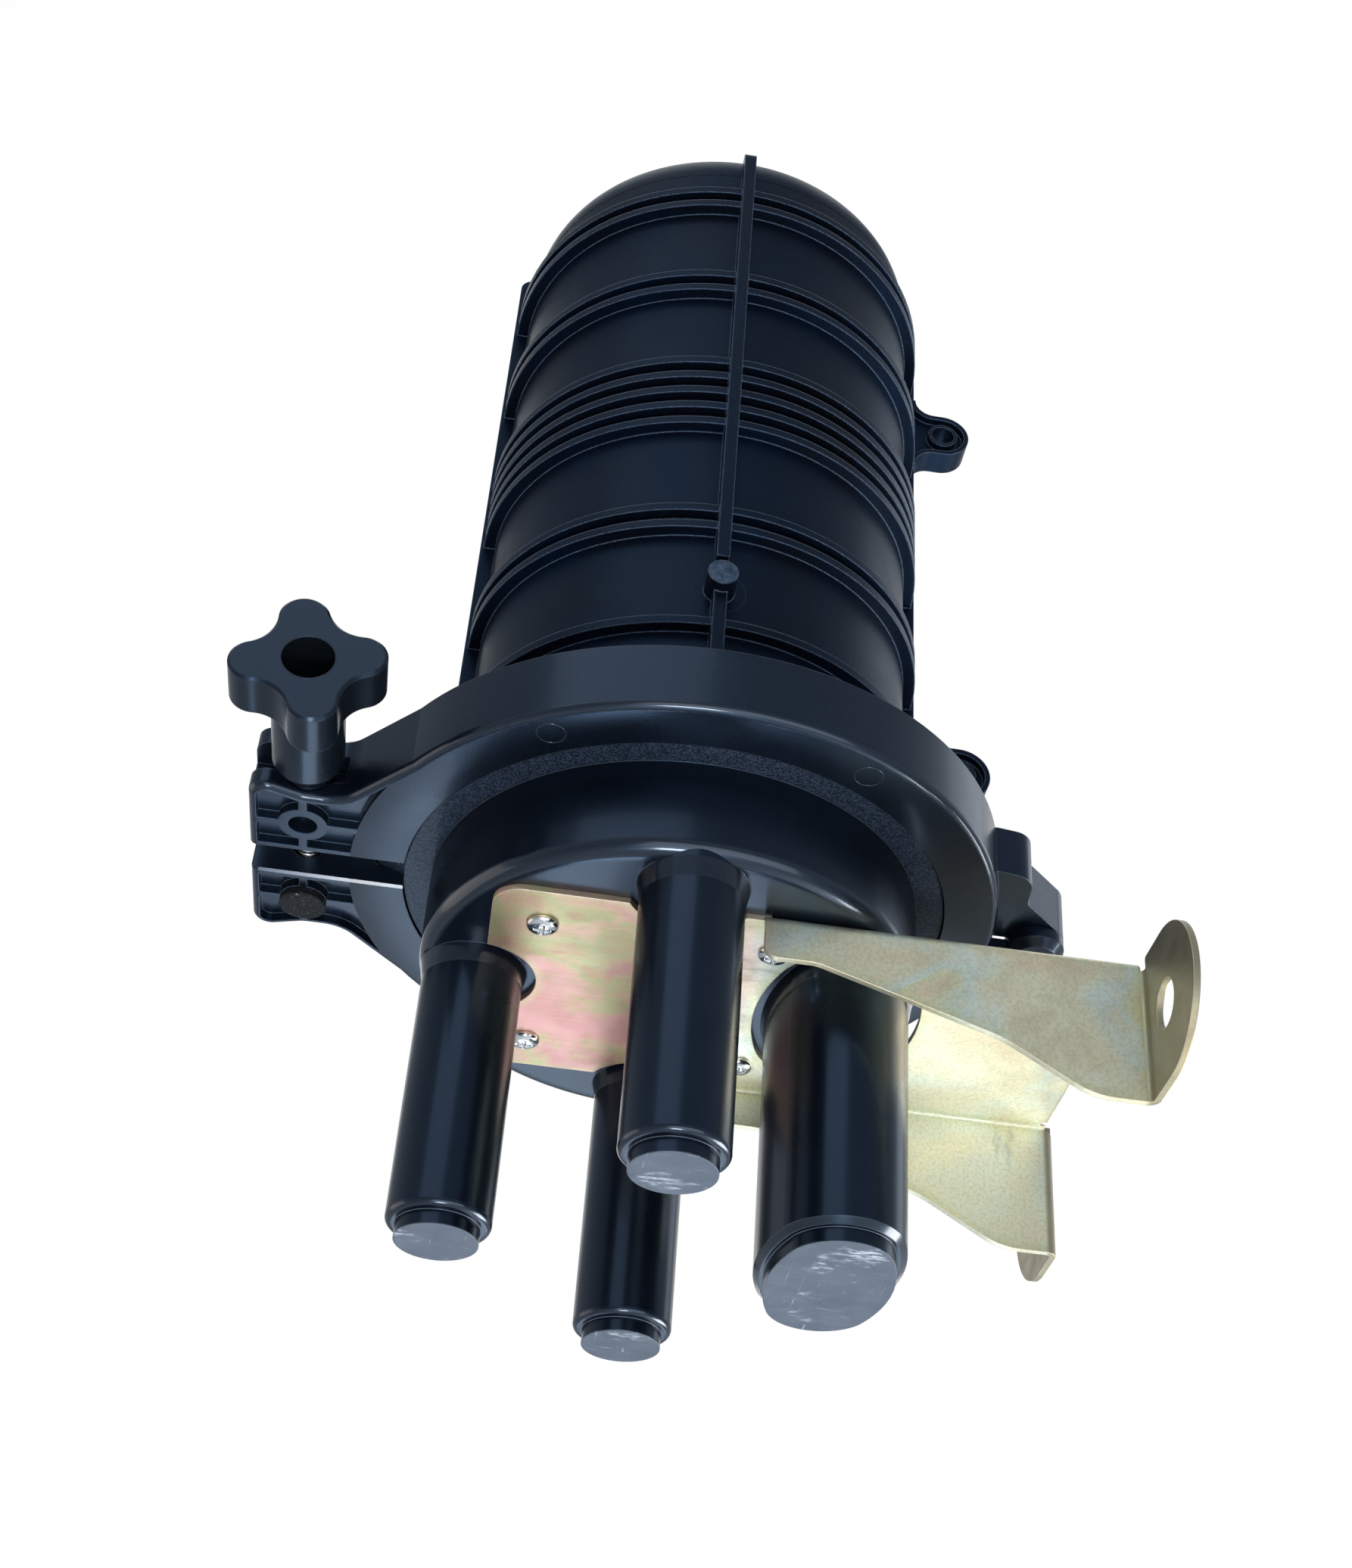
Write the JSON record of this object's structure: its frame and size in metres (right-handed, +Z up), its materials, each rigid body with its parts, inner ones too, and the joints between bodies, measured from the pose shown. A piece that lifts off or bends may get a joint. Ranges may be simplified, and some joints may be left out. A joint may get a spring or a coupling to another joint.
{
  "type": "dome splice closure",
  "caption": "Upright ribbed dome closure for fibre splices, with a hinged clamp ring and knob, capped round and oval cable ports and a bent sheet-steel wall bracket.",
  "frame": {"origin": "centre of the two wall holes, on the outer face of the bracket tabs", "axes": "+X out of the bracket tabs towards the wall, +Z up along the dome's axis, -Y the side of the closing knob"},
  "size_m": [0.276, 0.205, 0.4165],
  "materials": {
    "dome_plastic": "fine-textured black moulding",
    "base_plastic": "polished black moulding",
    "clamp_plastic": "semi-gloss black moulding",
    "knob_plastic": "semi-gloss black moulding",
    "seal_rubber": "soft black rubber",
    "pin_steel": "bright drawn steel",
    "bolt_steel": "zinc-plated steel",
    "nut_steel": "rough staked steel end",
    "yellow_zinc": "yellow zinc-plated sheet steel",
    "screw_steel": "bright plated steel",
    "frame_metal": "bare sheet",
    "tray_plastic": "light grey moulding",
    "clear_lid": "clear plastic",
    "strap_fabric": "woven hook-and-loop strap"
  },
  "bodies": {
    "housing": {"dome": "dome_plastic", "base": "base_plastic", "clamp_rear": "clamp_plastic", "hinge_pin": "pin_steel", "barrel_nut": "nut_steel", "mount_bracket": "yellow_zinc", "bracket_screws": "screw_steel", "tray_frame": "frame_metal", "frame_screws": "bolt_steel", "tray_holder": "tray_plastic", "tray_cover": "clear_lid", "tray_strap": "strap_fabric", "storage_basket": "tray_plastic", "basket_screws": "bolt_steel", "strength_anchor_front": "frame_metal", "strength_anchor_rear": "frame_metal", "anchor_screws": "bolt_steel", "splice_tray_1": "tray_plastic", "splice_tray_2": "tray_plastic", "splice_tray_3": "tray_plastic", "splice_tray_4": "tray_plastic", "splice_tray_5": "tray_plastic", "seal_ring": "seal_rubber"},
    "front_clamp": {"clamp_front": "clamp_plastic"},
    "knob_carriage": {"knob_washer": "bolt_steel"},
    "closing_knob": {"knob": "knob_plastic", "knob_bolt": "bolt_steel"}
  },
  "joints": [
    {"name": "clamp_open", "type": "hinge", "parent": "housing", "child": "front_clamp", "pos_m": [-0.0192, 0, 0.0661], "axis": [0, 0, 1], "range_deg": [0, 110]},
    {"name": "knob_travel", "type": "slide", "parent": "front_clamp", "child": "knob_carriage", "axis": [0, -1, 0], "range_m": [0, 0.01]},
    {"name": "knob_spin", "type": "hinge", "parent": "knob_carriage", "child": "closing_knob", "pos_m": [-0.2538, -0.06, 0.0661], "axis": [0, -1, 0], "range_deg": [0, 2844]}
  ],
  "couplings": [
    {"joint": "knob_travel", "follows": "knob_spin", "m_per_rad": 0.00019894}
  ]
}
